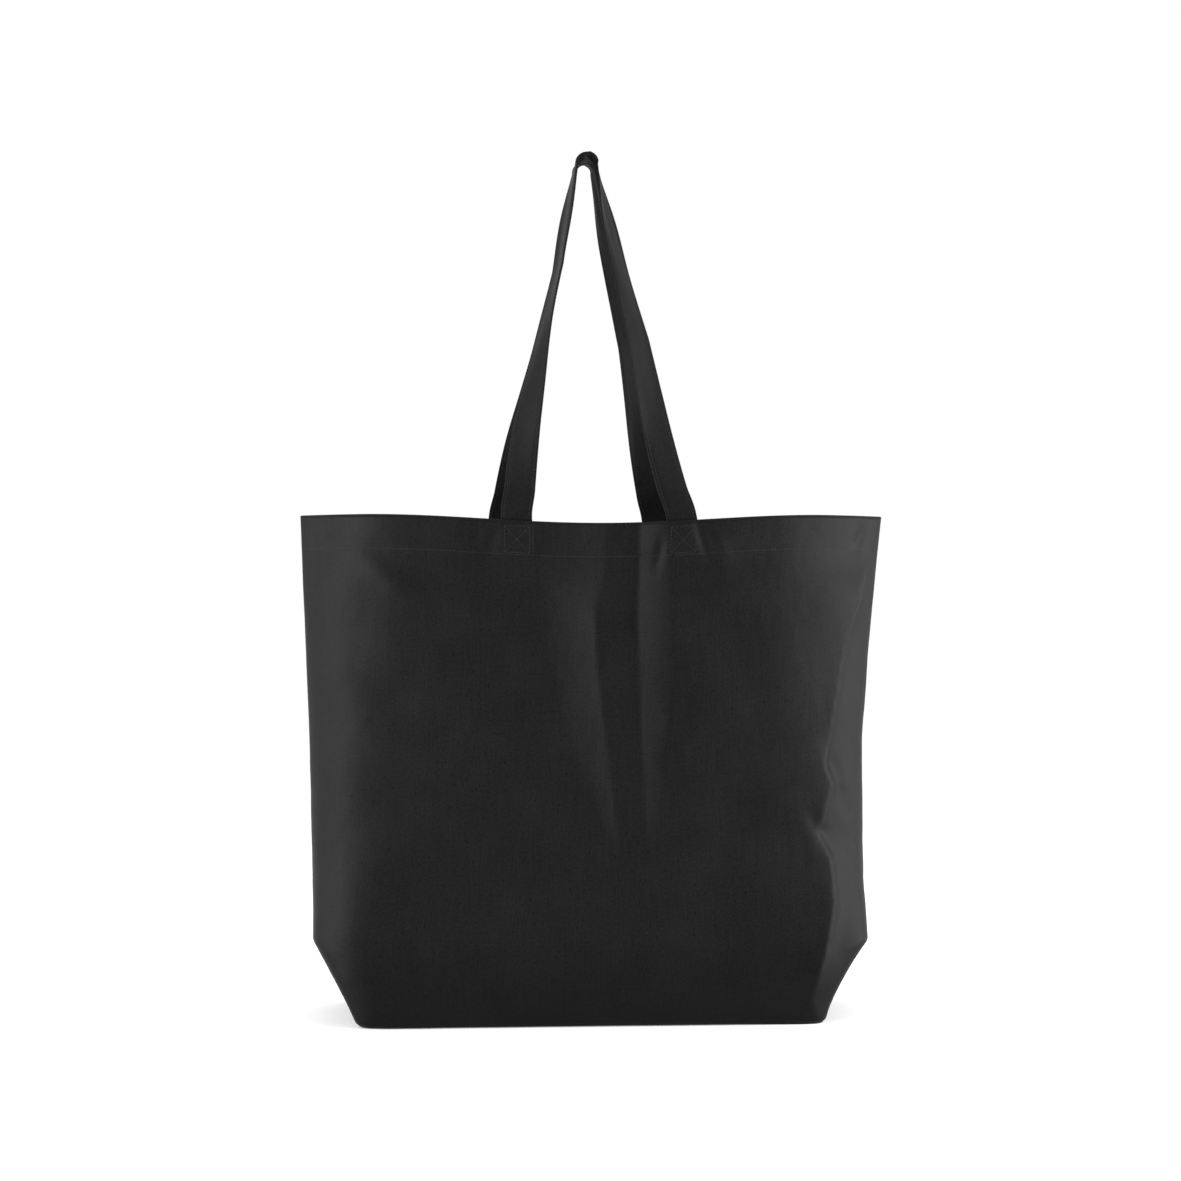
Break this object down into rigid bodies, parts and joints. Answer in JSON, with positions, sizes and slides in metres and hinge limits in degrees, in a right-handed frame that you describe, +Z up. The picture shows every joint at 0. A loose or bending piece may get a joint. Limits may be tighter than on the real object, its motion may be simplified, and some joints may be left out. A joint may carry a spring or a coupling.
{
  "type": "canvas tote bag",
  "caption": "Plain black canvas tote bag with a boxed base, a stitched hem and two long handles raised to a point.",
  "frame": {"origin": "middle of the flat base, on the surface that the bag stands on", "axes": "+Z up through the handles' top, +X towards the right side seam seen from the front, -Y out of the front panel"},
  "size_m": [0.482, 0.1456, 0.7132],
  "materials": {
    "canvas": "matte plain weave",
    "strap": "matte folded canvas",
    "seam": "overlocked canvas edge",
    "thread": "twisted cotton thread"
  },
  "bodies": {
    "bag": {"front_panel": "canvas", "back_panel": "canvas", "front_hem": "canvas", "back_hem": "canvas", "front_hem_stitching": "thread", "back_hem_stitching": "thread", "left_side_seam": "seam", "right_side_seam": "seam", "bottom_seam": "seam", "left_gusset_seam": "seam", "right_gusset_seam": "seam", "front_left_strap_end": "strap", "front_right_strap_end": "strap", "back_left_strap_end": "strap", "back_right_strap_end": "strap", "front_left_box_stitching": "thread", "front_right_box_stitching": "thread", "back_left_box_stitching": "thread", "back_right_box_stitching": "thread"},
    "front_handle": {"front_handle": "strap", "front_handle_stitching": "thread"},
    "back_handle": {"back_handle": "strap", "back_handle_stitching": "thread"}
  },
  "joints": [
    {"name": "front_handle_swing", "type": "hinge", "parent": "bag", "child": "front_handle", "pos_m": [0, -0.06594, 0.40329], "axis": [1, 0, 0], "range_deg": [0, 174]},
    {"name": "back_handle_swing", "type": "hinge", "parent": "bag", "child": "back_handle", "pos_m": [0, 0.06594, 0.40329], "axis": [-1, 0, 0], "range_deg": [0, 174]}
  ]
}
